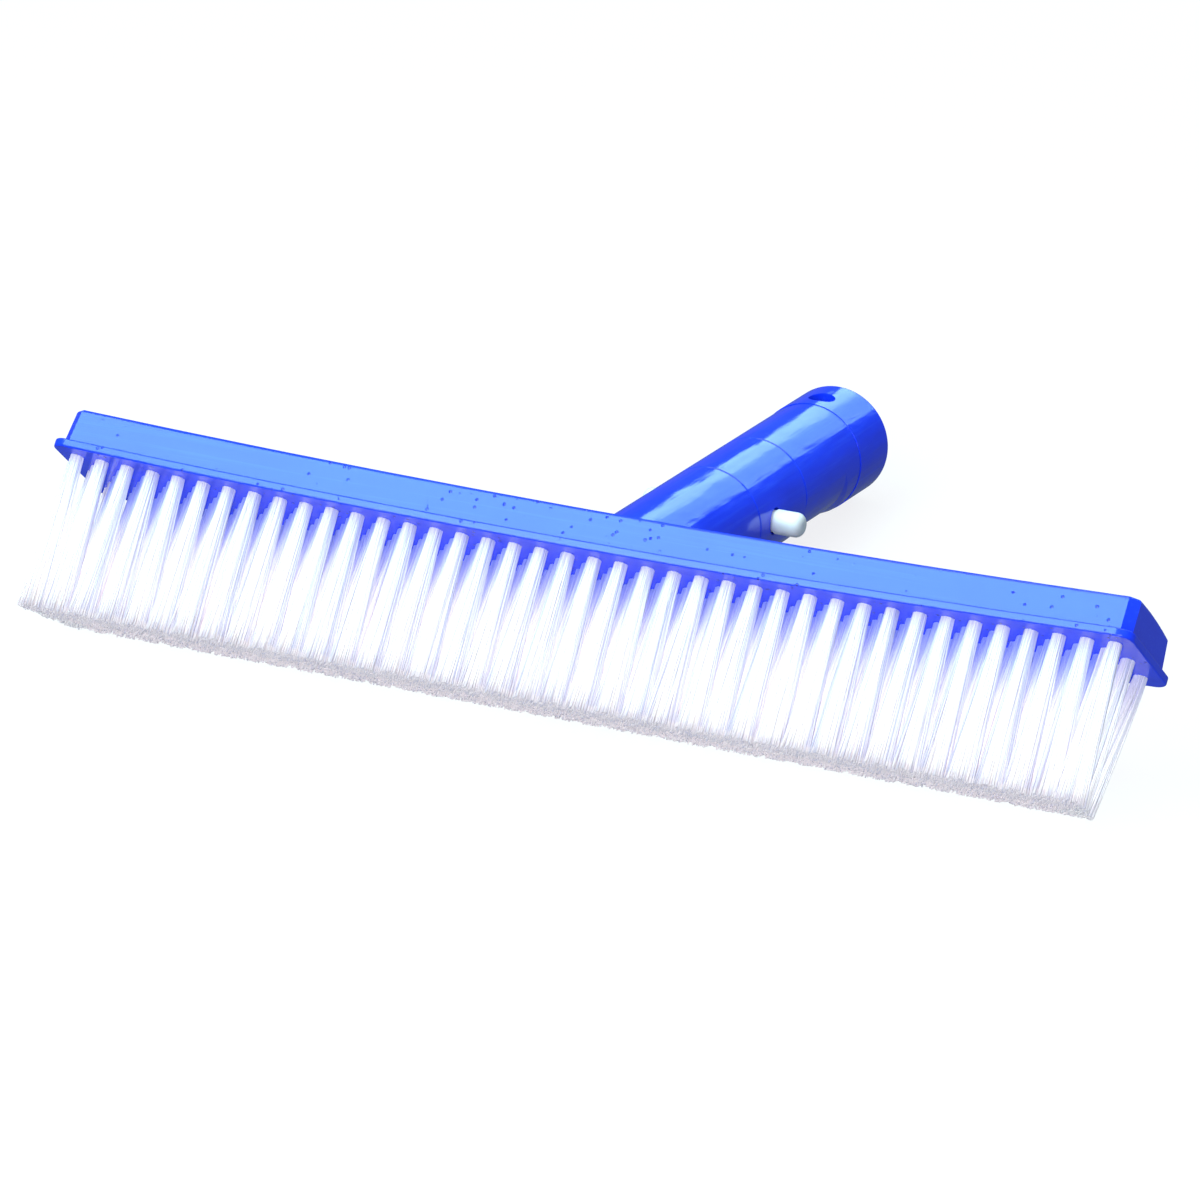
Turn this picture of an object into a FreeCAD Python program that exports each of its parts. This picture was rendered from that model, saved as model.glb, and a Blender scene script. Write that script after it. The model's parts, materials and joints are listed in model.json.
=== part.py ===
import FreeCAD, Part
import math
import os

# Pool wall brush: a long tufted block on a tubular pole handle with a two-button spring clip.
# All lengths are in millimetres.
#
# Every piece is modelled in the brush's own frame: X along the block, Y back towards the handle,
# Z up, with Z = 0 at the rear row's trimmed tips. At the end everything is tipped back together, as
# the brush lies when it is put down: on its rear bristle tips and the lower edge of the handle.

# ---- driving dimensions: bristle field ----
tuft_pitch = 7.2
row_spacing = 5.8
row_count = 5
tufts_in_long_row = 40
bristle_length = 34.8
tuft_tip_radius = 3.35
tuft_end_radius = 1.35
tuft_hole_depth = 4.6
trim_slope = 0.095
anchor_height = 1.4
anchor_thickness = 0.4
anchor_width = 3.0

# ---- driving dimensions: block ----
bow_rise = 2.4
underside_tilt_deg = 2.2
rim_half_length = 145.9
rim_half_depth = 18.0
rim_corner_radius = 4.0
lip_thickness = 2.2
lip_edge_radius = 0.45
lip_projection = 1.9
lip_end_projection = 1.2
lip_flare_radius = 0.7
wall_draft_deg = 6.5
end_draft_deg = 3.0
wall_chamfer = 2.4
front_height = 11.45
rear_drop = 0.9
crown_radius = 145.0
top_edge_radius = 1.0

# ---- driving dimensions: handle ----
handle_angle_deg = 34.9
handle_axis_height = 27.8
handle_length = 151.0
tube_radius = 14.42
collar_radius = 14.6
bore_radius = 11.6
bore_depth = 108.0
mouth_edge_radius = 1.0
mouth_bevel = 0.8
relief_depth = 1.1
relief_start = 99.0
relief_ramp = 9.0
ramp_overrun = 0.3
collar_start = 133.0
seam_turn = 45
ring_stations = (70.7, 99.0)
ring_depth = 0.3
ring_width = 0.8
bolt_hole_station = 139.5
bolt_hole_radius = 3.5
neck_gap_above_lip = 1.2

# ---- driving dimensions: saddle under the handle and its two screws ----
saddle_half_length = 28.0
saddle_front = 3.0
saddle_rear = 15.0
saddle_thickness = 2.4
saddle_corner_radius = 3.0
rib_thickness = 2.4
rib_height = 4.5
screw_x = 21.6
screw_y = 13.6
screw_boss_radius = 3.9
screw_boss_height = 1.6
screw_head_radius = 3.0
screw_head_height = 2.0
screw_shank_radius = 1.5
screw_reach = 9.0
screw_slot_width = 0.8
screw_slot_depth = 1.1
screw_slot_length = 3.6

# ---- driving dimensions: spring clip ----
pin_station = 80.0
pin_radius = 3.175
pin_neck_radius = 2.8
pin_neck_end = 14.7
pin_hole_radius = 3.5
pin_tip = 22.2
pin_tip_round = 2.2
pad_outer = 10.6
pad_thickness = 1.8
pad_half_length = 4.2
clip_half_width = 3.5
clip_thickness = 1.6
bend_station = 124.0
bend_inner_radius = 2.4

# ---- worked out from the driving dimensions ----
outer_tuft_x = tuft_pitch * (tufts_in_long_row - 1) / 2
bow_radius = outer_tuft_x**2 / (2 * bow_rise)
rear_row_y = row_spacing * (row_count - 1) / 2
draft = math.tan(math.radians(wall_draft_deg))
end_draft = math.tan(math.radians(end_draft_deg))
wall_half_depth = rim_half_depth - lip_projection
wall_half_length = rim_half_length - lip_end_projection
handle_tilt = math.radians(handle_angle_deg)
along_handle = FreeCAD.Vector(0, math.cos(handle_tilt), math.sin(handle_tilt))
out_of_handle = FreeCAD.Vector(0, -math.sin(handle_tilt), math.cos(handle_tilt))
across = FreeCAD.Vector(1, 0, 0)
up = FreeCAD.Vector(0, 0, 1)
handle_foot_point = FreeCAD.Vector(0, 0, handle_axis_height)
overshoot = 5.0


def vector(x, y, z):
    return FreeCAD.Vector(x, y, z)


def bow_height(x):
    """How far the block's underside at x has risen above its middle: its ends rise."""
    return bow_radius - math.sqrt(bow_radius**2 - x**2)


def root_height(x, y):
    """Height of the block's tilted underside over a tuft's place."""
    drop = math.tan(math.radians(underside_tilt_deg)) * (y + rear_row_y)
    return bristle_length + bow_height(x) - drop


def tip_height(y):
    """Height of a row's trimmed tips. The trim slopes, so the front row is the longest."""
    return trim_slope * (y - rear_row_y)


def tilted(shape):
    """Tilts a part of the block about the front row's roots, so that its rear comes down."""
    turned = shape.copy()
    turned.rotate(vector(0, -rear_row_y, bristle_length), across, -underside_tilt_deg)
    return turned


# ---- outlines ----


def polygon_face(points):
    return Part.Face(Part.makePolygon(points + points[:1]))


def arc_edge(start, middle, end):
    return Part.Arc(start, middle, end).toShape()


def rounded_rectangle(half_x, low_y, high_y, radius):
    """A closed plan outline at Z = 0, with rounded corners."""
    inset = radius * (1 - math.sqrt(0.5))
    corners = ((1, high_y, 1), (-1, high_y, 1), (-1, low_y, -1), (1, low_y, -1))
    edges = []
    joints = []
    for side, y, up_y in corners:
        beside = vector(side * half_x, y - up_y * radius, 0)
        middle = vector(side * (half_x - inset), y - up_y * inset, 0)
        along = vector(side * (half_x - radius), y, 0)
        ends = (beside, along) if side == up_y else (along, beside)
        edges.append(arc_edge(ends[0], middle, ends[1]))
        joints.append(ends)
    for now, following in zip(joints, joints[1:] + joints[:1]):
        edges.append(Part.makeLine(now[1], following[0]))
    return Part.Wire(Part.__sortEdges__(edges))


def chamfered_rectangle(half_x, half_y, cut, z):
    """The eight corners of a plan outline at height z."""
    quarter = ((half_x, half_y - cut), (half_x - cut, half_y))
    points = [vector(x, y, z) for x, y in quarter]
    points += [vector(-x, y, z) for x, y in reversed(quarter)]
    points += [vector(-x, -y, z) for x, y in quarter]
    points += [vector(x, -y, z) for x, y in reversed(quarter)]
    return points


def frustum_between(low, high):
    """A solid with flat sides between two parallel outlines of the same number of corners."""
    faces = [polygon_face(low), polygon_face(high)]
    for i in range(len(low)):
        faces.append(polygon_face([low[i - 1], low[i], high[i], high[i - 1]]))
    return Part.Solid(Part.Shell(faces))


def bowed(section):
    """Sweeps a section in the YZ plane along the block's bow."""
    centre = vector(0, 0, bristle_length + bow_radius)
    half_angle = math.degrees(math.asin((rim_half_length + overshoot) / bow_radius))
    start = section.copy()
    start.rotate(centre, vector(0, 1, 0), -half_angle)
    return start.revolve(centre, vector(0, 1, 0), 2 * half_angle)


def crown_edge(offset, half_depth):
    """The arched top line in the YZ plane, raised by offset, out to half_depth each way."""
    front_top = bristle_length + front_height
    chord = 2 * wall_half_depth
    slope = math.asin(rear_drop / chord)
    sag = crown_radius - math.sqrt(crown_radius**2 - (chord / 2) ** 2)
    centre_z = front_top - rear_drop / 2 + sag - crown_radius * math.cos(slope)
    centre_y = -crown_radius * math.sin(slope)
    radius = crown_radius + offset

    def on_arc(y):
        return vector(0, y, centre_z + math.sqrt(radius**2 - (y - centre_y) ** 2))

    return arc_edge(on_arc(-half_depth), on_arc(0), on_arc(half_depth))


def crown_slab(low_offset, high_offset, half_depth):
    """A bowed slab between two raised copies of the block's arched top."""
    low = crown_edge(low_offset, half_depth)
    high = crown_edge(high_offset, half_depth)
    sides = [
        Part.makeLine(a.Point, b.Point) for a, b in zip(low.Vertexes, high.Vertexes)
    ]
    return bowed(Part.Face(Part.Wire(Part.__sortEdges__([low, high] + sides))))


# ---- block ----


def make_lip():
    """The skirt round the foot of the block, with its rounded outer edge."""
    section = polygon_face(
        [
            vector(0, -rim_half_depth - overshoot, bristle_length),
            vector(0, rim_half_depth + overshoot, bristle_length),
            vector(0, rim_half_depth + overshoot, bristle_length + lip_thickness),
            vector(0, -rim_half_depth - overshoot, bristle_length + lip_thickness),
        ]
    )
    plan = rounded_rectangle(rim_half_length, -rim_half_depth, rim_half_depth, rim_corner_radius)
    prism = Part.Face(plan).extrude(up * (2 * bristle_length))
    lip = bowed(section).common(prism)
    upright = (lip_thickness / 2, lip_thickness * 1.5)
    lying = [
        edge
        for edge in lip.Edges
        if edge.BoundBox.ZLength < upright[0] or edge.Length > upright[1]
    ]
    return lip.makeFillet(lip_edge_radius, lying)


def make_upper_block():
    """The block above its lip: drafted walls, chamfered corners and an arched top."""
    foot = bristle_length
    top = foot + 2 * front_height
    high_half_length = wall_half_length - end_draft * (top - foot)
    high_half_depth = wall_half_depth - draft * (top - foot)
    low = chamfered_rectangle(wall_half_length, wall_half_depth, wall_chamfer, foot)
    high = chamfered_rectangle(high_half_length, high_half_depth, wall_chamfer, top)
    frustum = frustum_between(low, high)
    reach = rim_half_depth + overshoot
    crown = crown_edge(0, reach)
    floor = bristle_length + lip_thickness / 2
    corners = [v.Point for v in crown.Vertexes]
    low = [vector(0, p.y, floor) for p in corners]
    edges = [
        crown,
        Part.makeLine(corners[0], low[0]),
        Part.makeLine(low[0], low[1]),
        Part.makeLine(low[1], corners[1]),
    ]
    slab = bowed(Part.Face(Part.Wire(Part.__sortEdges__(edges))))
    upper = slab.common(frustum)
    crown_face = next(face for face in upper.Faces if isinstance(face.Surface, Part.Toroid))
    return upper.makeFillet(top_edge_radius, crown_face.Edges)


def make_block_envelope():
    """The block without its tuft holes."""
    whole = make_upper_block().fuse(make_lip()).removeSplitter()
    inner_edges = []
    for edge in whole.Edges:
        middle = edge.valueAt((edge.FirstParameter + edge.LastParameter) / 2)
        height = middle.z - bristle_length - bow_height(middle.x)
        inside = abs(middle.y) < rim_half_depth - lip_edge_radius - 0.3
        inside = inside and abs(middle.x) < rim_half_length - lip_edge_radius - 0.3
        if abs(height - lip_thickness) < 0.05 and inside:
            inner_edges.append(edge)
    return tilted(whole.makeFillet(lip_flare_radius, inner_edges))


# ---- bristle field ----


def row_positions(row):
    """Tuft centres of one row. Rows 1, 3 and 5 are long, and the rows between are staggered."""
    count = tufts_in_long_row - (row % 2 == 0)
    y = (row - (row_count + 1) / 2) * row_spacing
    return [((i - (count - 1) / 2) * tuft_pitch, y) for i in range(count)]


def tuft_cone(x, y):
    """One tuft: it fills its hole and flares from there to the trimmed tips."""
    tip = tip_height(y)
    length = root_height(x, y) + tuft_hole_depth - tip
    return Part.makeCone(tuft_tip_radius, tuft_end_radius, length, vector(x, y, tip))


def anchor_plate(x, y):
    """The metal plate that pins a tuft at the bottom of its hole and bites into both walls."""
    bottom = root_height(x, y) + tuft_hole_depth
    corner = vector(x - anchor_width / 2, y - anchor_thickness / 2, bottom)
    return Part.makeBox(anchor_width, anchor_thickness, anchor_height, corner)


def hole_with_slot(x, y):
    """The space that one tuft and its anchor take up in the block.

    The cone is turned so that its seam lies clear of the anchor's ends.
    """
    bottom = root_height(x, y) + tuft_hole_depth
    slope = (tuft_tip_radius - tuft_end_radius) / (bottom - tip_height(y))
    depth = tuft_hole_depth + overshoot
    mouth_radius = tuft_end_radius + slope * depth
    start = vector(x, y, bottom - depth)
    hole = Part.makeCone(mouth_radius, tuft_end_radius, depth, start)
    quarter_turn = 90
    hole.rotate(start, up, quarter_turn)
    return hole.fuse(anchor_plate(x, y))


# ---- handle ----


def on_handle(station, outward=0.0, sideways=0.0):
    """A point by its distance along the handle's axis, and its offsets from that axis."""
    point = handle_foot_point + along_handle * station
    return point + out_of_handle * outward + across * sideways


def handle_cylinder(radius, start, end, shift=0.0):
    """A cylinder along the handle, turned so that its seam lies clear of the cross holes."""
    base = on_handle(start, shift)
    cylinder = Part.makeCylinder(radius, end - start, base, along_handle)
    cylinder.rotate(base, along_handle, seam_turn)
    return cylinder


def ring_groove(station):
    """A shallow V groove right round the tube, ring_width wide at the tube's surface."""
    points = [
        on_handle(station - ring_width, tube_radius + ring_depth),
        on_handle(station, tube_radius - ring_depth),
        on_handle(station + ring_width, tube_radius + ring_depth),
    ]
    return polygon_face(points).revolve(handle_foot_point, along_handle, 360)


def saddle_plate():
    """A plate that follows the block's arched top."""
    plan = rounded_rectangle(saddle_half_length, saddle_front, saddle_rear, saddle_corner_radius)
    prism = Part.Face(plan).extrude(up * (2 * bristle_length))
    return tilted(crown_slab(-lip_thickness, saddle_thickness, wall_half_depth).common(prism))


def saddle_rib(side):
    """An upright rib between the plate and the tube's side."""
    floor = bristle_length + lip_thickness
    high = bristle_length + front_height + rib_height
    y = (saddle_front + saddle_rear) / 2
    outline = [
        vector(0, y, floor),
        vector(side * (screw_x - 1), y, floor),
        vector(side * (screw_x - 1), y, bristle_length + front_height + saddle_thickness / 2),
        vector(side * tube_radius * 0.9, y, high),
        vector(0, y, high),
    ]
    rib = polygon_face(outline).extrude(vector(0, rib_thickness, 0))
    rib.translate(vector(0, -rib_thickness / 2, 0))
    return rib


def screw_seat_height():
    """Height of the flat boss tops that the screw heads sit on."""
    return bristle_length + front_height + screw_boss_height


def screw_boss(side):
    floor = bristle_length + lip_thickness
    base = vector(side * screw_x, screw_y, floor)
    return Part.makeCylinder(screw_boss_radius, screw_seat_height() - floor, base)


def screw_shank(side):
    seat = screw_seat_height()
    base = vector(side * screw_x, screw_y, seat - screw_reach)
    return Part.makeCylinder(screw_shank_radius, screw_reach, base)


def make_screw(side):
    """A pan head screw with a cross recess."""
    seat = screw_seat_height()
    head = Part.makeCylinder(
        screw_head_radius, screw_head_height, vector(side * screw_x, screw_y, seat)
    )
    rim = [e for e in head.Edges if e.BoundBox.ZMin > seat + screw_head_height / 2 and e.Closed]
    head = head.makeFillet(screw_head_height * 0.45, rim[:1])
    screw = head.fuse(screw_shank(side))
    for long_x, long_y in ((1, 0), (0, 1)):
        size_x = screw_slot_length if long_x else screw_slot_width
        size_y = screw_slot_length if long_y else screw_slot_width
        corner = vector(
            side * screw_x - size_x / 2,
            screw_y - size_y / 2,
            seat + screw_head_height - screw_slot_depth,
        )
        screw = screw.cut(Part.makeBox(size_x, size_y, screw_slot_depth + 1, corner))
    return screw


def solid_tube():
    return handle_cylinder(tube_radius, -tube_radius, collar_start)


def make_saddle(block_envelope):
    """The seat that is welded round the handle's neck and screwed to the block."""
    saddle = saddle_plate()
    for side in (1, -1):
        saddle = saddle.fuse(saddle_rib(side)).fuse(screw_boss(side))
    saddle = saddle.cut(block_envelope).cut(solid_tube())
    for side in (1, -1):
        saddle = saddle.cut(screw_shank(side))
    return saddle.removeSplitter()


def make_handle(block_envelope):
    """The tube, cut at its foot to fit over the block, with the collar that fits the pole.

    Behind the collar the tube's lower side is relieved, and ramps up to the collar.
    """
    collar = handle_cylinder(collar_radius, collar_start, handle_length)
    mouth = max(collar.Edges, key=lambda edge: edge.CenterOfMass.y)
    collar = collar.makeFillet(mouth_edge_radius, [mouth])
    ramp_start = collar_start - relief_ramp
    ramp = Part.makeCone(
        tube_radius,
        tube_radius + relief_depth + ramp_overrun,
        relief_ramp,
        on_handle(ramp_start, relief_depth),
        along_handle,
    )
    ramp.rotate(on_handle(ramp_start, relief_depth), along_handle, seam_turn)
    kept = handle_cylinder(tube_radius, relief_start, ramp_start, relief_depth).fuse(ramp)
    relief = handle_cylinder(tube_radius + overshoot, relief_start, collar_start).cut(kept)
    tube = solid_tube().cut(relief).fuse(collar)

    neck_floor = bristle_length + lip_thickness + neck_gap_above_lip
    keep = Part.makeBox(
        4 * tube_radius,
        2 * handle_length,
        2 * handle_length,
        vector(-2 * tube_radius, saddle_front, neck_floor),
    )
    body = tube.common(keep).cut(block_envelope)
    body = body.cut(handle_cylinder(bore_radius, handle_length - bore_depth, handle_length + 1))
    bevel = Part.makeCone(
        bore_radius,
        bore_radius + 2 * mouth_bevel,
        2 * mouth_bevel,
        on_handle(handle_length - mouth_bevel),
        along_handle,
    )
    body = body.cut(bevel)
    for station in ring_stations:
        body = body.cut(ring_groove(station))
    reach = tube_radius + overshoot
    pin_holes = Part.makeCylinder(
        pin_hole_radius, 2 * reach, on_handle(pin_station, 0, -reach), across
    )
    bolt_holes = Part.makeCylinder(
        bolt_hole_radius, 2 * reach, on_handle(bolt_hole_station, -reach), out_of_handle
    )
    return body.cut(pin_holes).cut(bolt_holes).removeSplitter()


# ---- spring clip ----


def clip_strip(corners):
    """A strip of the clip: an outline given as (station, sideways), as wide as the clip."""
    points = [on_handle(station, -clip_half_width, sideways) for station, sideways in corners]
    return polygon_face(points).extrude(out_of_handle * (2 * clip_half_width))


def make_clip_bend():
    """The U bend that joins the clip's two arms, towards the handle's mouth."""
    outer_radius = bend_inner_radius + clip_thickness
    base = on_handle(bend_station, -clip_half_width)
    width = 2 * clip_half_width
    ring = Part.makeCylinder(outer_radius, width, base, out_of_handle)
    ring = ring.cut(Part.makeCylinder(bend_inner_radius, width, base, out_of_handle))
    half = clip_strip(
        [
            (bend_station, -outer_radius),
            (bend_station + outer_radius, -outer_radius),
            (bend_station + outer_radius, outer_radius),
            (bend_station, outer_radius),
        ]
    )
    return ring.common(half)


def make_clip_arm(side):
    """The springy strip from the bend to one pin's pad."""
    pad_inner = pad_outer - pad_thickness
    end = pin_station + pad_half_length
    return clip_strip(
        [
            (bend_station, side * bend_inner_radius),
            (bend_station, side * (bend_inner_radius + clip_thickness)),
            (end, side * (pad_inner + clip_thickness)),
            (end, side * pad_inner),
        ]
    )


def make_clip_pin(side):
    """The pad at the end of an arm, with the neck and round button that stand out of the tube."""
    pad_inner = pad_outer - pad_thickness
    pad = clip_strip(
        [
            (pin_station - pad_half_length, side * pad_inner),
            (pin_station - pad_half_length, side * pad_outer),
            (pin_station + pad_half_length, side * pad_outer),
            (pin_station + pad_half_length, side * pad_inner),
        ]
    )
    neck_start = on_handle(pin_station, 0, side * pad_outer)
    neck = Part.makeCylinder(pin_neck_radius, pin_neck_end - pad_outer, neck_start, across * side)
    button_start = on_handle(pin_station, 0, side * pin_neck_end)
    button = Part.makeCylinder(pin_radius, pin_tip - pin_neck_end, button_start, across * side)
    end_edge = max(button.Edges, key=lambda edge: side * edge.CenterOfMass.x)
    return button.makeFillet(pin_tip_round, [end_edge]).fuse(neck).fuse(pad)


# ---- resting pose ----


def rest_placement(shapes):
    """Tips the brush back on to its rear bristle tips and the handle's lower edge.

    The origin ends up on the ground, under the middle of the whole brush.
    """
    mouth = on_handle(handle_length - mouth_edge_radius, -(collar_radius - mouth_edge_radius))
    rear_tips = vector(0, rear_row_y + tuft_tip_radius, 0)
    span = mouth - rear_tips
    tip_back = math.atan2(span.z, span.y) - math.asin(mouth_edge_radius / span.Length)
    turn = FreeCAD.Rotation(across, -math.degrees(tip_back))
    placement = FreeCAD.Placement(FreeCAD.Vector(), turn)
    turned = Part.makeCompound([placed(shape, placement) for shape in shapes])
    box = turned.optimalBoundingBox(False)
    placement.Base = vector(0, -(box.YMin + box.YMax) / 2, -box.ZMin)
    return placement


def placed(shape, placement):
    moved = shape.copy()
    moved.Placement = placement.multiply(moved.Placement)
    return moved


# ---- assembly ----

envelope = make_block_envelope()
rows = range(1, row_count + 1)
all_tufts = [place for row in rows for place in row_positions(row)]
holes = Part.makeCompound([hole_with_slot(x, y) for x, y in all_tufts])
block = envelope.cut(holes)
for side in (1, -1):
    block = block.cut(screw_shank(side))

nodes = {
    "tufted_block": block,
    "handle": make_handle(envelope),
    "handle_saddle": make_saddle(envelope),
}
for name, side in (("right", 1), ("left", -1)):
    nodes[f"saddle_screw_{name}"] = make_screw(side)
    nodes[f"clip_arm_{name}"] = make_clip_arm(side)
    nodes[f"clip_pin_{name}"] = make_clip_pin(side)
nodes["clip_bend"] = make_clip_bend()
for row in rows:
    places = row_positions(row)
    nodes[f"tuft_row_{row}"] = Part.makeCompound([tuft_cone(x, y) for x, y in places])
    nodes[f"anchor_row_{row}"] = Part.makeCompound([anchor_plate(x, y) for x, y in places])

at_rest = rest_placement(list(nodes.values()))
os.makedirs("parts", exist_ok=True)
for name, shape in nodes.items():
    piece = placed(shape, at_rest)
    piece.exportStep(f"parts/{name}.step")
    solids = len(piece.Solids)
    print(f"{name}: {solids} solid(s), {piece.Volume:.1f} mm3, valid {piece.isValid()}")
print("rest placement:", at_rest)
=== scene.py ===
import json
import math

import bmesh
import bpy
import numpy as np
from mathutils import Matrix, Vector


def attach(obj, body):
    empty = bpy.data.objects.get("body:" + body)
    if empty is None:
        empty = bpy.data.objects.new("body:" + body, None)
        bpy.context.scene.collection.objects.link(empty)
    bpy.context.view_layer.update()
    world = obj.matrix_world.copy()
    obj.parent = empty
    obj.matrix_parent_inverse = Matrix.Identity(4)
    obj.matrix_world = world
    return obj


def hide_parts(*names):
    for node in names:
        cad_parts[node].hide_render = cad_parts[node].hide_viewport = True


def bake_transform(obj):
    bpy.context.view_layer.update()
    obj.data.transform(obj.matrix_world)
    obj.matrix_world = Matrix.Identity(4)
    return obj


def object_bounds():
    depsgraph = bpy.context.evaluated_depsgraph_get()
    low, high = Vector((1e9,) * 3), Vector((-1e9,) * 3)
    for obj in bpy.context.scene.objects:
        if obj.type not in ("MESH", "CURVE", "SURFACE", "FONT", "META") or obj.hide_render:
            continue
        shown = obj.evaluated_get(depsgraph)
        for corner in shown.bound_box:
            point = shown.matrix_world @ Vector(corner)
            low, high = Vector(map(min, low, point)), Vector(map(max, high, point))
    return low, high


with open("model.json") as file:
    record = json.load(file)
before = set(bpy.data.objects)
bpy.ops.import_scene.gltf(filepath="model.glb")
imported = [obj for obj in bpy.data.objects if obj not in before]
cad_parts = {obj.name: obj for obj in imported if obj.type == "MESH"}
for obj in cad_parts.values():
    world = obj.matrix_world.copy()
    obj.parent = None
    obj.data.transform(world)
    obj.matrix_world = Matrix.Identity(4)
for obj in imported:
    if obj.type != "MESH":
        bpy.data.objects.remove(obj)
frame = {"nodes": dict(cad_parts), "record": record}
cad_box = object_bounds()

# A pool wall brush, tipped back on its rear bristles. All lengths are in metres, in the CAD frame.

# ---- the camera, aimed from the front right and above ----
AIM = Vector((-0.0179, -0.0167, 0.0093))
VIEW_AZIMUTH = 25.57
VIEW_ELEVATION = 24.164
VIEW_ROLL = -0.729
VIEW_DISTANCE = 2.3511
VIEW_LENS_MM = 281.08

# ---- bristles: the filaments of a tuft ----
FILAMENTS_PER_TUFT = 108
FILAMENT_RADIUS = 0.0002
FILAMENT_SIDES = 5
FILAMENT_RINGS = 6
BURIED_DEPTH = 0.0046
HELD_DEPTH = 0.0022
BRISTLE_LENGTH = 0.0355

# ---- bristles: how a tuft opens towards its tips, and how uneven it is ----
TIP_SPREAD = 1.06
SPREAD_VARIATION = (0.94, 1.06)
FLARE_POWER = 1.1
TUFT_TWIST = 0.25
FILAMENT_TURN = 0.12
TIP_DRIFT = 0.00022
BOW_DRIFT = 0.00018
TRIM_RAGGEDNESS = 0.00013
STRAY_SHARE = 0.02
STRAY_REACH = 0.0013

# ---- bristles: what changes from row 0 in front to the rear row ----
REAR_ROW = 4
FRONT_EXTRA_LENGTH = 0.0012

# ---- bristles: the lean of the last tufts at the right end, from the end inwards ----
END_LEAN = 0.0062
END_LEAN_SHARES = (1.0, 0.6, 0.3, 0.12)

# ---- bristles: the copies of the filament material with painted light and shade, and how far out a filament counts as one at its tuft's side ----
FRONT_PAINTED_LIGHT, INNER_PAINTED_SHADE, EDGE_PAINTED_SHADE, CUT_PAINTED_SHADE = range(4)
EDGE_SHARE = 0.66

# ---- the spring clip's arms, as distances along the handle and across it ----
SPIGOT_STATION = 0.1415
BEND_STATION = 0.124
PAD_STATION = 0.0842
BEND_SIDE = 0.0032
PAD_SIDE = 0.0096
ARM_STEPS = 28
ARM_STRAIGHT_SHARE = 0.55
ARM_HALF_WIDTH = 0.0035
ARM_HALF_THICKNESS = 0.00078
ARM_EDGE_RADIUS = 0.0005

GOLDEN_ANGLE = math.pi * (3 - math.sqrt(5))
SEED = 7

# ---- places and directions from the record's mounts ----
MOUNTS = {mount["name"]: mount for mount in frame["record"]["mounts"]}
BRISTLE_AXIS = Vector(MOUNTS["bristle_tips"]["axis"])
ACROSS = Vector((1, 0, 0))
TIPS_ALONG = Vector(MOUNTS["bristle_tips"]["pos_m"]).dot(BRISTLE_AXIS)
ROOT_ALONG = TIPS_ALONG - BRISTLE_LENGTH
HANDLE_AXIS = Vector(MOUNTS["pole_spigot"]["axis"])
HANDLE_UP = Vector(MOUNTS["pole_bolt_hole"]["axis"])
SPIGOT = Vector(MOUNTS["pole_spigot"]["pos_m"])


# ---- small helpers ----


def unit(v):
    return v / np.linalg.norm(v)


def new_material(name):
    material = bpy.data.materials.new(name)
    material.use_nodes = True
    tree = material.node_tree
    return material, tree, tree.nodes["Principled BSDF"]


def add_node(tree, kind, **values):
    """A new shader node. values are for its input sockets, or else for its own settings."""
    node = tree.nodes.new(kind)
    for name, value in values.items():
        if name in node.inputs:
            node.inputs[name].default_value = value
        else:
            setattr(node, name, value)
    return node


def ramp(tree, source, stops):
    """A colour ramp fed from a socket. stops are (position, colour), or (position, (grey,))."""
    node = tree.nodes.new("ShaderNodeValToRGB")
    elements = node.color_ramp.elements
    while len(elements) < len(stops):
        elements.new(0.5)
    for element, (position, colour) in zip(elements, stops):
        red_green_blue = colour if len(colour) == 3 else colour * 3
        element.position = position
        element.color = (*red_green_blue, 1)
    tree.links.new(source, node.inputs["Fac"])
    return node.outputs["Color"]


def object_coordinates(tree, scale=(1, 1, 1)):
    coordinates = tree.nodes.new("ShaderNodeTexCoord")
    mapping = add_node(tree, "ShaderNodeMapping", Scale=scale)
    tree.links.new(coordinates.outputs["Object"], mapping.inputs["Vector"])
    return mapping.outputs["Vector"]


def handle_coordinates(tree, across, along):
    """Object coordinates turned to the handle, in units of the two given lengths."""
    coordinates = tree.nodes.new("ShaderNodeTexCoord")
    slant = math.atan2(HANDLE_AXIS.z, HANDLE_AXIS.y)
    mapping = add_node(
        tree,
        "ShaderNodeMapping",
        vector_type="TEXTURE",
        Rotation=(slant, 0, 0),
        Scale=(across, along, across),
    )
    tree.links.new(coordinates.outputs["Object"], mapping.inputs["Vector"])
    return mapping.outputs["Vector"]


def mixed(tree, factor, first, second, blend="MIX"):
    """Mixes two colours. Each of them is a socket or a colour, and factor a socket or a number."""
    node = tree.nodes.new("ShaderNodeMix")
    node.data_type = "RGBA"
    node.blend_type = blend
    for socket, value in ((0, factor), (6, first), (7, second)):
        if isinstance(value, bpy.types.NodeSocket):
            tree.links.new(value, node.inputs[socket])
        elif isinstance(value, tuple):
            node.inputs[socket].default_value = (*value, 1)
        else:
            node.inputs[socket].default_value = value
    return node.outputs[2]


def bumped(tree, shader, layers):
    """Chains bump nodes. layers are (height socket, strength, distance in metres)."""
    normal = None
    for height, strength, distance in layers:
        bump = add_node(tree, "ShaderNodeBump", Strength=strength, Distance=distance)
        tree.links.new(height, bump.inputs["Height"])
        if normal is not None:
            tree.links.new(normal, bump.inputs["Normal"])
        normal = bump.outputs["Normal"]
    tree.links.new(normal, shader.inputs["Normal"])


# ---- materials ----


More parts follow.
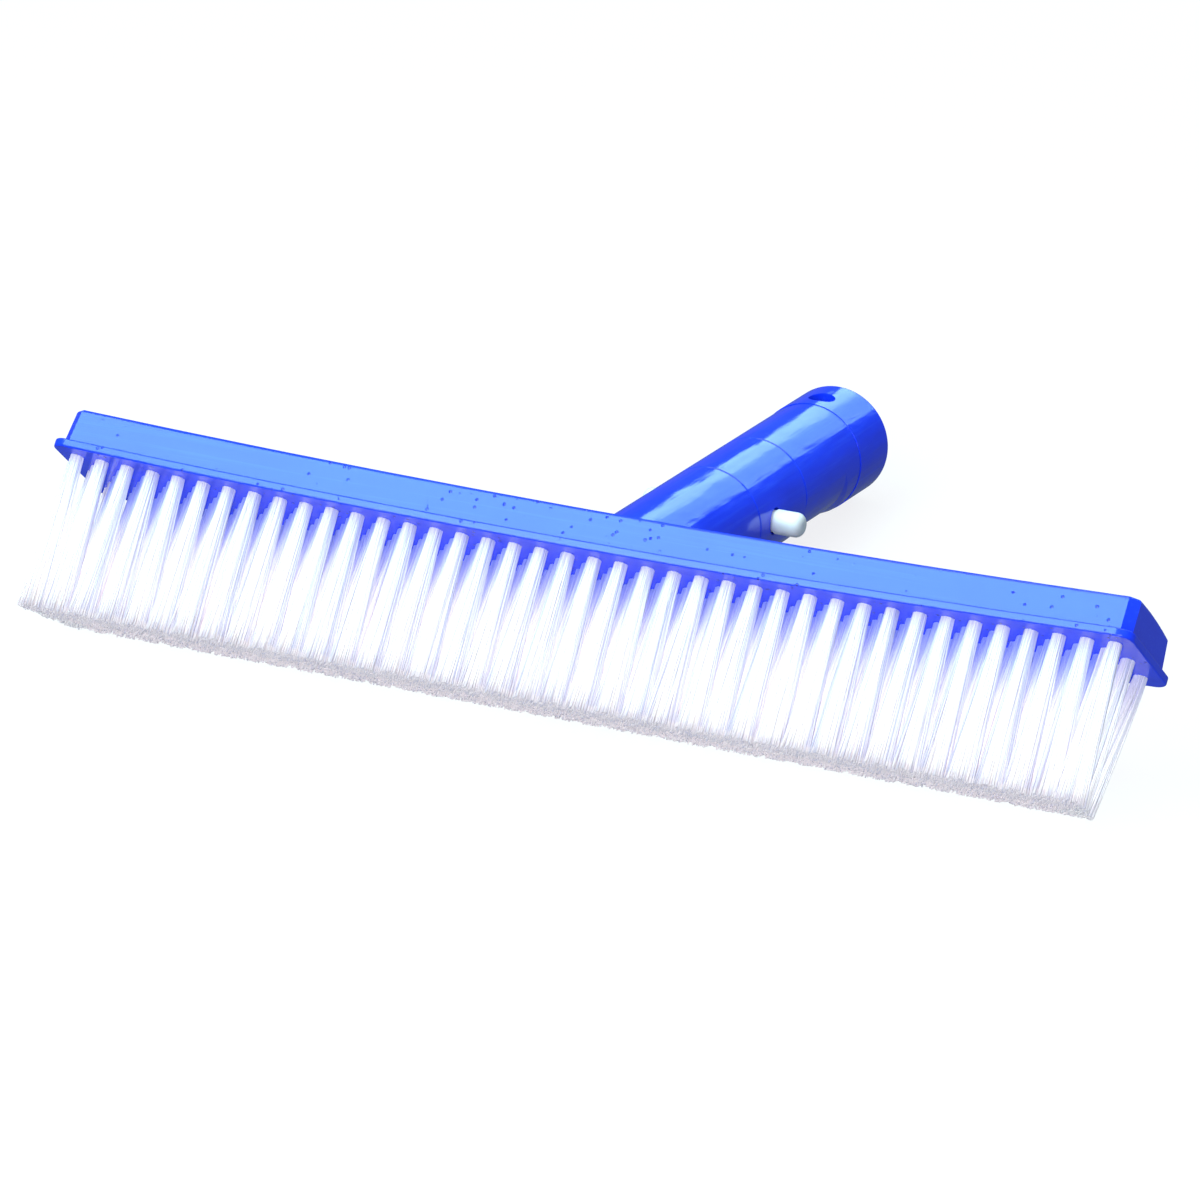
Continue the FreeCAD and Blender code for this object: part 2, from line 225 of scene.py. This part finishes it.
def blue_plastic(name, is_tube, speck_size, wave_height, scuff_height):
    """Glossy injection-moulded blue plastic, slightly wavy, with scuffs and embedded specks.

    Scuffs run along the tube or along the block. speck_size is a speck's radius in cells of the
    speck pattern, and the two heights are in metres.
    """
    material, tree, shader = new_material(name)
    where = object_coordinates(tree)
    clouds = add_node(tree, "ShaderNodeTexNoise", Scale=30.0, Detail=3.0, Roughness=0.55)
    specks = add_node(tree, "ShaderNodeTexVoronoi", Scale=360.0, Randomness=1.0)
    patches = add_node(tree, "ShaderNodeTexNoise", Scale=60.0, Detail=1.0)
    waves = add_node(tree, "ShaderNodeTexNoise", Scale=1.0, Detail=2.0, Roughness=0.5)
    grain = add_node(tree, "ShaderNodeTexNoise", Scale=2600.0, Detail=2.0)
    if is_tube:
        along = handle_coordinates(tree, across=0.0016, along=0.045)
    else:
        along = object_coordinates(tree, scale=(14.0, 700.0, 700.0))
    scuffs = add_node(tree, "ShaderNodeTexNoise", Scale=1.0, Detail=4.0, Roughness=0.62)
    for node in (clouds, specks, patches, grain):
        tree.links.new(where, node.inputs["Vector"])
    tree.links.new(along, scuffs.inputs["Vector"])
    tree.links.new(handle_coordinates(tree, across=0.006, along=0.020), waves.inputs["Vector"])

    base = ramp(
        tree,
        clouds.outputs["Fac"],
        [(0.3, (0.008, 0.040, 0.86)), (0.7, (0.011, 0.052, 0.95))],
    )
    dots = ramp(tree, specks.outputs["Distance"], [(speck_size / 2, (1.0,)), (speck_size, (0.0,))])
    in_patches = ramp(tree, patches.outputs["Fac"], [(0.45, (0.0,)), (0.53, (1.0,))])
    sparse = mixed(tree, 1.0, dots, in_patches, "MULTIPLY")
    specked = mixed(tree, sparse, base, (0.006, 0.016, 0.30))
    streaks = ramp(tree, scuffs.outputs["Fac"], [(0.55, (0.0,)), (0.74, (0.6,))])
    colour = mixed(tree, streaks, specked, (0.020, 0.075, 0.95))
    tree.links.new(colour, shader.inputs["Base Color"])

    roughness = add_node(tree, "ShaderNodeMapRange")
    roughness.inputs["To Min"].default_value = 0.15
    roughness.inputs["To Max"].default_value = 0.27
    tree.links.new(streaks, roughness.inputs["Value"])
    tree.links.new(roughness.outputs["Result"], shader.inputs["Roughness"])
    shader.inputs["IOR"].default_value = 1.50
    bumped(
        tree,
        shader,
        [
            (waves.outputs["Fac"], 1.0, wave_height),
            (scuffs.outputs["Fac"], 1.0, scuff_height),
            (grain.outputs["Fac"], 0.03, 0.00002),
            (sparse, 1.0, 0.00016),
        ],
    )
    return material


def bristle_nylon(name, root_painted_shade, middle_painted_shade, tip_tint):
    """White nylon filaments, with painted shade and painted blue reflected light near their roots,
    from the blue block behind them, and darker over the last stretch at the tips.
    """
    material, tree, shader = new_material(name)
    geometry = tree.nodes.new("ShaderNodeNewGeometry")
    where = object_coordinates(tree)
    along = add_node(tree, "ShaderNodeVectorMath", operation="DOT_PRODUCT")
    tree.links.new(where, along.inputs[0])
    along.inputs[1].default_value = BRISTLE_AXIS
    travel = add_node(tree, "ShaderNodeMapRange")
    travel.inputs["From Min"].default_value = ROOT_ALONG
    travel.inputs["From Max"].default_value = TIPS_ALONG + FRONT_EXTRA_LENGTH
    tree.links.new(along.outputs["Value"], travel.inputs["Value"])
    # Painted shade and painted blue reflected light at the roots, fading out along the filaments;
    # darker over the last stretch at the tips.
    tint = ramp(
        tree,
        travel.outputs["Result"],
        [
            (0.0, root_painted_shade),
            (0.30, middle_painted_shade),
            (0.62, tip_tint),
            (0.98, tip_tint),
            (1.0, (0.86, 0.74, 0.75)),
        ],
    )
    shades = ramp(
        tree,
        geometry.outputs["Random Per Island"],
        [(0.0, (0.72, 0.74, 0.86)), (0.3, (0.93, 0.93, 0.97)), (1.0, (1.0, 1.0, 1.0))],
    )
    colour = mixed(tree, 1.0, tint, shades, "MULTIPLY")
    tree.links.new(colour, shader.inputs["Base Color"])
    shader.inputs["Roughness"].default_value = 0.38
    shader.inputs["IOR"].default_value = 1.53
    return material


def bristle_cut():
    """The trimmed filament ends: greyer than the filaments as painted shade, with a few dark ones as
    painted shadow in the gaps between the ends.
    """
    material, tree, shader = new_material("bristle_cut")
    geometry = tree.nodes.new("ShaderNodeNewGeometry")
    shades = ramp(
        tree,
        geometry.outputs["Random Per Island"],
        [
            (0.0, (0.10, 0.075, 0.07)),
            (0.07, (0.16, 0.13, 0.13)),
            (0.10, (0.58, 0.53, 0.58)),
            (0.5, (0.94, 0.76, 0.77)),
            (1.0, (1.0, 0.87, 0.86)),
        ],
    )
    tree.links.new(shades, shader.inputs["Base Color"])
    shader.inputs["Roughness"].default_value = 0.6
    return material


def white_nylon():
    """Smooth white moulded nylon for the spring clip."""
    material, tree, shader = new_material("white_nylon")
    where = object_coordinates(tree)
    clouds = add_node(tree, "ShaderNodeTexNoise", Scale=210.0, Detail=3.0)
    grain = add_node(tree, "ShaderNodeTexNoise", Scale=2200.0, Detail=2.0)
    for node in (clouds, grain):
        tree.links.new(where, node.inputs["Vector"])
    base = ramp(
        tree,
        clouds.outputs["Fac"],
        [(0.3, (0.80, 0.80, 0.76)), (0.7, (0.89, 0.89, 0.86))],
    )
    tree.links.new(base, shader.inputs["Base Color"])
    shader.inputs["Roughness"].default_value = 0.38
    shader.inputs["IOR"].default_value = 1.53
    shader.inputs["Subsurface Weight"].default_value = 0.3
    shader.inputs["Subsurface Radius"].default_value = (1.0, 0.9, 0.8)
    shader.inputs["Subsurface Scale"].default_value = 0.0015
    bumped(tree, shader, [(grain.outputs["Fac"], 0.08, 0.00003)])
    return material


def screw_steel():
    """Zinc-plated steel with fine turning marks."""
    material, tree, shader = new_material("screw_steel")
    where = object_coordinates(tree)
    clouds = add_node(tree, "ShaderNodeTexNoise", Scale=900.0, Detail=4.0)
    tree.links.new(where, clouds.inputs["Vector"])
    base = ramp(
        tree,
        clouds.outputs["Fac"],
        [(0.3, (0.47, 0.48, 0.50)), (0.7, (0.66, 0.66, 0.67))],
    )
    tree.links.new(base, shader.inputs["Base Color"])
    shader.inputs["Metallic"].default_value = 1.0
    shader.inputs["Roughness"].default_value = 0.32
    bumped(tree, shader, [(clouds.outputs["Fac"], 0.15, 0.00003)])
    return material


def anchor_brass():
    """Stamped brass with faint tarnish."""
    material, tree, shader = new_material("anchor_brass")
    where = object_coordinates(tree)
    clouds = add_node(tree, "ShaderNodeTexNoise", Scale=1500.0, Detail=3.0)
    tree.links.new(where, clouds.inputs["Vector"])
    base = ramp(
        tree,
        clouds.outputs["Fac"],
        [(0.3, (0.62, 0.45, 0.17)), (0.7, (0.78, 0.60, 0.28))],
    )
    tree.links.new(base, shader.inputs["Base Color"])
    shader.inputs["Metallic"].default_value = 1.0
    shader.inputs["Roughness"].default_value = 0.36
    return material


# ---- bristles ----


def tuft_ends(node):
    """Each tuft of a CAD row, from left to right, as the centres and then the radii of its ends.

    The buried end comes first and the tips second.
    """
    mesh = frame["nodes"][node].data
    points = np.array([v.co for v in mesh.vertices], float)
    axis = np.array(BRISTLE_AXIS)
    tolerance = 0.00001
    ends = []
    for members in islands(mesh):
        own = points[members]
        along = own @ axis
        tips = np.unique(own[along > along.max() - tolerance].round(7), axis=0)
        buried = np.unique(own[along < along.min() + tolerance].round(7), axis=0)
        tip = (tips.min(0) + tips.max(0)) / 2
        root = (buried.min(0) + buried.max(0)) / 2
        tip_radius = (tips[:, 0].max() - tips[:, 0].min()) / 2
        root_radius = (buried[:, 0].max() - buried[:, 0].min()) / 2
        ends.append((root, tip, root_radius, tip_radius))
    return sorted(ends, key=lambda end: end[0][0])


def islands(mesh):
    """Groups of vertex indices that edges, or equal places, join."""
    count = len(mesh.vertices)
    parent = list(range(count))

    def find(i):
        while parent[i] != i:
            parent[i] = parent[parent[i]]
            i = parent[i]
        return i

    for edge in mesh.edges:
        a, b = (find(i) for i in edge.vertices)
        parent[a] = b
    seen = {}
    for vertex in mesh.vertices:
        key = tuple(round(c, 6) for c in vertex.co)
        if key in seen:
            parent[find(vertex.index)] = find(seen[key])
        seen[key] = vertex.index
    groups = {}
    for i in range(count):
        groups.setdefault(find(i), []).append(i)
    return list(groups.values())


def on_circle(radius, angle):
    return np.stack([radius * np.cos(angle), radius * np.sin(angle)], 1)


def filament_paths(tuft, extra, lean_inward, rng):
    """One tuft's filament centre lines, as filament, ring, xyz, and which of them are at its sides."""
    root, tip, root_radius, tip_radius = tuft
    axis = unit(tip - root)
    side = np.array(ACROSS)
    other = np.cross(axis, side)
    length = np.linalg.norm(tip - root)
    count = FILAMENTS_PER_TUFT
    order = np.arange(count)
    share = np.sqrt((order + 0.5) / count)
    angle = order * GOLDEN_ANGLE + rng.uniform(0, 2 * math.pi)
    mouth_radius = root_radius + (tip_radius - root_radius) * BURIED_DEPTH / length
    lean = rng.normal(0, TIP_DRIFT, 2) - np.array([lean_inward, 0])
    twist = rng.normal(0, TUFT_TWIST)
    spread = share * tip_radius * TIP_SPREAD * rng.uniform(*SPREAD_VARIATION)
    end_angle = angle + twist + rng.normal(0, FILAMENT_TURN, count)
    stray = rng.random(count) < STRAY_SHARE
    end_shift = rng.normal(0, TIP_DRIFT, (count, 2)) + lean
    end_shift[stray] += rng.normal(0, STRAY_REACH, (stray.sum(), 2))
    bow = rng.normal(0, BOW_DRIFT, (count, 2))
    cut = rng.normal(0, TRIM_RAGGEDNESS, count) + extra
    start = on_circle(share * mouth_radius, angle)
    end = on_circle(spread, end_angle) + end_shift
    mouth = root + axis * (BURIED_DEPTH - HELD_DEPTH)
    reach = length - BURIED_DEPTH + HELD_DEPTH
    paths = np.zeros((count, FILAMENT_RINGS, 3))
    for ring in range(FILAMENT_RINGS):
        t = ring / (FILAMENT_RINGS - 1)
        free = max(0.0, (t * reach - HELD_DEPTH) / (reach - HELD_DEPTH))
        flare = free**FLARE_POWER
        flat = start * (1 - flare) + end * flare + bow * (4 * free * (1 - free))
        paths[:, ring] = (
            mouth
            + axis * (t * reach)
            + flat[:, :1] * side
            + flat[:, 1:] * other
            + axis * (cut * free**3)[:, None]
        )
    at_edge = np.abs(start[:, 0]) > EDGE_SHARE * mouth_radius
    return paths, at_edge


def above_ground(paths):
    """Shortens the filaments whose tips would reach into the ground."""
    floor = cad_box[0].z + FILAMENT_RADIUS
    low = paths[:, -1, 2] < floor
    for k in np.flatnonzero(low):
        first, last = paths[k, 0], paths[k, -1]
        keep = (first[2] - floor) / (first[2] - last[2])
        paths[k] = first + (paths[k] - first) * keep
    return paths


def tube_mesh(name, paths, radius, sides, shade_indices, end_shade_index):
    """One mesh of thin tubes along the paths, closed at the far end.

    Each tube takes the material index given for it, and every end takes the one given for the ends; in
    the bristles these indices pick copies with painted light and shade.
    """
    count, rings, _ = paths.shape
    axis = unit(paths[0, -1] - paths[0, 0])
    not_along_axis = [0.0, 1.0, 0.3]
    side = unit(np.cross(axis, not_along_axis))
    other = np.cross(axis, side)
    angles = np.arange(sides) * 2 * math.pi / sides
    circle = np.cos(angles)[:, None] * side + np.sin(angles)[:, None] * other
    vertices = (paths[:, :, None, :] + circle * radius).reshape(-1, 3)
    ring_step = np.arange(rings - 1)[:, None] * sides
    i = np.arange(sides)
    j = (i + 1) % sides
    quads = np.stack([i + ring_step, j + ring_step, j + ring_step + sides, i + ring_step + sides], -1)
    offsets = np.arange(count)[:, None] * rings * sides
    walls = (quads.reshape(1, -1, 4) + offsets[:, :, None]).reshape(-1, 4)
    caps = (np.arange(sides)[None, :] + (rings - 1) * sides) + offsets
    mesh = bpy.data.meshes.new(name)
    loops = np.concatenate([walls.ravel(), caps.ravel()])
    totals = np.concatenate([np.full(len(walls), 4), np.full(len(caps), sides)])
    starts = np.concatenate([[0], np.cumsum(totals)[:-1]])
    mesh.vertices.add(len(vertices))
    mesh.vertices.foreach_set("co", vertices.ravel())
    mesh.loops.add(len(loops))
    mesh.loops.foreach_set("vertex_index", loops.astype(np.int32))
    mesh.polygons.add(len(totals))
    mesh.polygons.foreach_set("loop_start", starts.astype(np.int32))
    mesh.polygons.foreach_set("loop_total", totals.astype(np.int32))
    smooth = np.concatenate([np.ones(len(walls), bool), np.zeros(len(caps), bool)])
    mesh.polygons.foreach_set("use_smooth", smooth)
    materials = np.concatenate([np.repeat(shade_indices, (rings - 1) * sides), np.full(count, end_shade_index)])
    mesh.polygons.foreach_set("material_index", materials.astype(np.int32))
    mesh.update(calc_edges=True)
    mesh.validate()
    return mesh


def end_lean(row, from_right):
    """How far a tuft's tips lean in from the right end: further in the rear rows."""
    if from_right >= len(END_LEAN_SHARES):
        return 0.0
    return END_LEAN * END_LEAN_SHARES[from_right] * row / REAR_ROW


def tuft_shade_indices(row, from_end, at_edge):
    """Each filament's material index, which picks its copy with painted light or shade. The end tufts,
    and the front row away from its tufts' sides, get the lightest copy; filaments at the sides of the
    other front-row tufts get painted side shade, and the inner rows get painted shade and painted blue
    reflected light near their roots.
    """
    if row > 0 and from_end > 0:
        return np.full(len(at_edge), INNER_PAINTED_SHADE)
    return np.where(at_edge & (from_end > 0), EDGE_PAINTED_SHADE, FRONT_PAINTED_LIGHT)


def make_bristles(materials):
    """Each CAD row of tufts as two pieces of single filaments, left and right of the middle.

    materials come in the order front, inner, edge and cut, the copies with painted light and shade.
    The filaments cast no shadow, so that the gaps between the tufts stay pale as under flat light.
    """
    rows = sorted(name for name in frame["nodes"] if name.startswith("tuft_row_"))
    for number, node in enumerate(rows):
        rng = np.random.default_rng(SEED + number)
        extra = FRONT_EXTRA_LENGTH * (1 - number / REAR_ROW)
        # The ends from the third row back get the cut material with painted shade; the two front rows
        # keep the lightest copy at their ends.
        end_shade_index = CUT_PAINTED_SHADE if number > 1 else FRONT_PAINTED_LIGHT
        tufts = tuft_ends(node)
        paths, shade_indices = [], []
        for i, tuft in enumerate(tufts):
            from_right = len(tufts) - 1 - i
            lines, at_edge = filament_paths(tuft, extra, end_lean(number, from_right), rng)
            paths.append(lines)
            shade_indices.append(tuft_shade_indices(number, min(i, from_right), at_edge))
        middle = len(tufts) // 2
        for half, span in (("left", slice(0, middle)), ("right", slice(middle, None))):
            name = f"bristles_{number + 1}_{half}"
            own = above_ground(np.concatenate(paths[span]))
            own_shade_indices = np.concatenate(shade_indices[span])
            mesh = tube_mesh(name, own, FILAMENT_RADIUS, FILAMENT_SIDES, own_shade_indices, end_shade_index)
            for material in materials:
                mesh.materials.append(material)
            piece = bpy.data.objects.new(name, mesh)
            bpy.context.scene.collection.objects.link(piece)
            piece.visible_shadow = False
            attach(piece, "brush")
            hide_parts(node)


# ---- the spring clip's arms ----


def on_handle(station, sideways=0.0, upward=0.0):
    """A point by its distance along the handle's axis, and its offsets from that axis."""
    along = HANDLE_AXIS * (station - SPIGOT_STATION)
    return SPIGOT + along + ACROSS * sideways + HANDLE_UP * upward


def rounded_section(half_width, half_thickness, radius, steps=4):
    """A closed outline with rounded corners, as (across the strip, through the strip)."""
    points = []
    quarter_turn = math.pi / 2
    for quarter in range(4):
        corner_angle = quarter_turn * (quarter + 0.5)
        corner_x = math.copysign(half_width - radius, math.cos(corner_angle))
        corner_y = math.copysign(half_thickness - radius, math.sin(corner_angle))
        for step in range(steps + 1):
            angle = quarter_turn * (quarter + step / steps)
            points.append((corner_x + radius * math.cos(angle), corner_y + radius * math.sin(angle)))
    return points


def make_clip_arm(name, side, material):
    """A springy strip that swings out in a gentle S from the bend to the button's pad."""
    section = rounded_section(ARM_HALF_WIDTH, ARM_HALF_THICKNESS, ARM_EDGE_RADIUS)
    shape = bmesh.new()
    loops = []
    for i in range(ARM_STEPS + 1):
        t = i / ARM_STEPS
        swing = t * (ARM_STRAIGHT_SHARE + (1 - ARM_STRAIGHT_SHARE) * t * (3 - 2 * t))
        station = BEND_STATION + (PAD_STATION - BEND_STATION) * t
        sideways = BEND_SIDE + (PAD_SIDE - BEND_SIDE) * swing
        loops.append([
            shape.verts.new(on_handle(station, side * (sideways + through), across))
            for across, through in section
        ])
    for near, far in zip(loops, loops[1:]):
        for i in range(len(section)):
            shape.faces.new((near[i - 1], near[i], far[i], far[i - 1])).smooth = True
    shape.faces.new(loops[0])
    shape.faces.new(loops[-1])
    bmesh.ops.recalc_face_normals(shape, faces=shape.faces)
    mesh = bpy.data.meshes.new(name)
    shape.to_mesh(mesh)
    shape.free()
    mesh.materials.append(material)
    arm = bpy.data.objects.new(name, mesh)
    bpy.context.scene.collection.objects.link(arm)
    return arm


def make_clip_arms(material):
    for hand, side in (("right", 1), ("left", -1)):
        arm = make_clip_arm(f"clip_spring_{hand}", side, material)
        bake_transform(arm)
        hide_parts(f"clip_arm_{hand}")


# ---- CAD nodes that stay ----


def dress(node, material):
    """Gives a CAD node its finished material."""
    mesh = frame["nodes"][node].data
    mesh.materials.clear()
    mesh.materials.append(material)


# ---- stage, lights and camera ----


def make_floor():
    """A plain floor that glows, so that it stays pale all over, and lights nothing else."""
    reach = 6.0
    mesh = bpy.data.meshes.new("floor")
    corners = [(-reach, -reach, 0), (reach, -reach, 0), (reach, reach, 0), (-reach, reach, 0)]
    mesh.from_pydata(corners, [], [(0, 1, 2, 3)])
    floor = bpy.data.objects.new("floor", mesh)
    floor.location.z = cad_box[0].z
    bpy.context.scene.collection.objects.link(floor)
    material, _, shader = new_material("floor_white")
    shader.inputs["Base Color"].default_value = (0.14, 0.14, 0.14, 1)
    shader.inputs["Roughness"].default_value = 0.9
    shader.inputs["Specular IOR Level"].default_value = 0.1
    shader.inputs["Emission Color"].default_value = (1, 1, 1, 1)
    shader.inputs["Emission Strength"].default_value = 0.84
    mesh.materials.append(material)
    floor.visible_diffuse = False
    floor.visible_glossy = False


def area_light(name, place, target, size, power, colour=(1, 1, 1)):
    """A rectangular light aimed at a target, with its size in metres and its power in watts."""
    data = bpy.data.lights.new(name, "AREA")
    data.shape = "RECTANGLE"
    data.size, data.size_y = size
    data.energy = power
    data.color = colour
    light = bpy.data.objects.new(name, data)
    light.location = place
    light.rotation_mode = "QUATERNION"
    direction = Vector(target) - Vector(place)
    light.rotation_quaternion = direction.to_track_quat("-Z", "Y")
    bpy.context.scene.collection.objects.link(light)


def make_world():
    """A dim studio: pale blue overhead, and darker all round and below."""
    world = bpy.data.worlds.new("studio")
    world.use_nodes = True
    tree = world.node_tree
    coordinates = tree.nodes.new("ShaderNodeTexCoord")
    split = tree.nodes.new("ShaderNodeSeparateXYZ")
    tree.links.new(coordinates.outputs["Generated"], split.inputs["Vector"])
    height = add_node(tree, "ShaderNodeMapRange")
    height.inputs["From Min"].default_value = -1.0
    tree.links.new(split.outputs["Z"], height.inputs["Value"])
    sky = ramp(
        tree,
        height.outputs["Result"],
        [
            (0.30, (0.15, 0.19, 0.24)),
            (0.50, (0.14, 0.17, 0.22)),
            (0.62, (0.10, 0.19, 0.30)),
            (1.0, (0.32, 0.50, 0.62)),
        ],
    )
    background = tree.nodes["Background"]
    tree.links.new(sky, background.inputs["Color"])
    background.inputs["Strength"].default_value = 1.0
    bpy.context.scene.world = world


def make_lights():
    """Broad soft lights on the block, and three narrower ones that the tube reflects as bands."""
    block = (0, -0.04, 0.04)
    tube = (0, 0.04, 0.025)
    pale_blue = (0.50, 1.0, 1.0)
    area_light("front_sheen", (-0.59, -0.54, 1.33), block, (1.0, 0.75), 17, pale_blue)
    area_light("key", (-0.35, -1.3, 1.25), block, (1.1, 0.7), 11, (1.0, 0.94, 0.96))
    area_light("top", (0.1, 0.25, 1.5), block, (1.6, 1.2), 10)
    area_light("low_front", (0.1, -1.35, 0.14), block, (1.8, 0.22), 8, (0.85, 0.98, 1.0))
    area_light("camera_side", (0.9, -2.15, 0.95), block, (1.3, 1.0), 28, (0.90, 0.98, 1.0))
    area_light("tube_streak", (-0.255, 1.3, 0.53), tube, (0.33, 0.5), 2.1, (0.50, 0.95, 1.0))
    area_light("tube_band", (0.13, 1.3, 0.53), tube, (0.44, 0.5), 1.7, (0.45, 0.95, 1.0))
    area_light("tube_line", (0.37, 1.3, 0.53), tube, (0.03, 0.5), 0.3, pale_blue)


def make_camera():
    azimuth = math.radians(VIEW_AZIMUTH)
    elevation = math.radians(VIEW_ELEVATION)
    back = Vector(
        (
            math.sin(azimuth) * math.cos(elevation),
            -math.cos(azimuth) * math.cos(elevation),
            math.sin(elevation),
        )
    )
    data = bpy.data.cameras.new("camera")
    data.lens = VIEW_LENS_MM
    data.sensor_width = 36.0
    data.clip_start = 0.1
    data.clip_end = 30.0
    camera = bpy.data.objects.new("camera", data)
    camera.location = AIM + back * VIEW_DISTANCE
    camera.rotation_mode = "QUATERNION"
    look = (-back).to_track_quat("-Z", "Y").to_matrix().to_4x4()
    roll = Matrix.Rotation(math.radians(VIEW_ROLL), 4, "Z")
    camera.rotation_quaternion = (look @ roll).to_quaternion()
    bpy.context.scene.collection.objects.link(camera)
    bpy.context.scene.camera = camera


# ---- making ----

make_camera()
make_floor()
make_world()
make_lights()

block_blue = blue_plastic(
    "blue_plastic",
    is_tube=False,
    speck_size=0.17,
    wave_height=0.00003,
    scuff_height=0.000002,
)
handle_blue = blue_plastic(
    "handle_plastic",
    is_tube=True,
    speck_size=0.01,
    wave_height=0.00045,
    scuff_height=0.00005,
)
nylon = white_nylon()
steel = screw_steel()
brass = anchor_brass()
for node in frame["nodes"]:
    if node.startswith("clip_arm_"):
        continue
    if node.startswith("clip_"):
        dress(node, nylon)
    elif "screw" in node:
        dress(node, steel)
    elif node.startswith("anchor_row_"):
        dress(node, brass)
    elif node.startswith("handle"):
        dress(node, handle_blue)
    elif not node.startswith("tuft_row_"):
        dress(node, block_blue)
make_clip_arms(nylon)
make_bristles([
    # Copies of one nylon with painted light and shade: front is the lightest, inner has painted shade
    # and painted blue reflected light at the roots, edge has painted shade all along, and cut has
    # painted shade on the ends.
    bristle_nylon("bristle_front", (0.82, 0.76, 0.84), (0.91, 0.82, 0.83), (0.92, 0.82, 0.80)),
    bristle_nylon("bristle_inner_painted_shade", (0.36, 0.42, 0.86), (0.76, 0.67, 0.84), (0.95, 0.80, 0.80)),
    bristle_nylon("bristle_edge_painted_shade", (0.60, 0.57, 0.78), (0.68, 0.62, 0.75), (0.72, 0.64, 0.72)),
    bristle_cut(),
])

bpy.context.scene.view_settings.view_transform = "Standard"
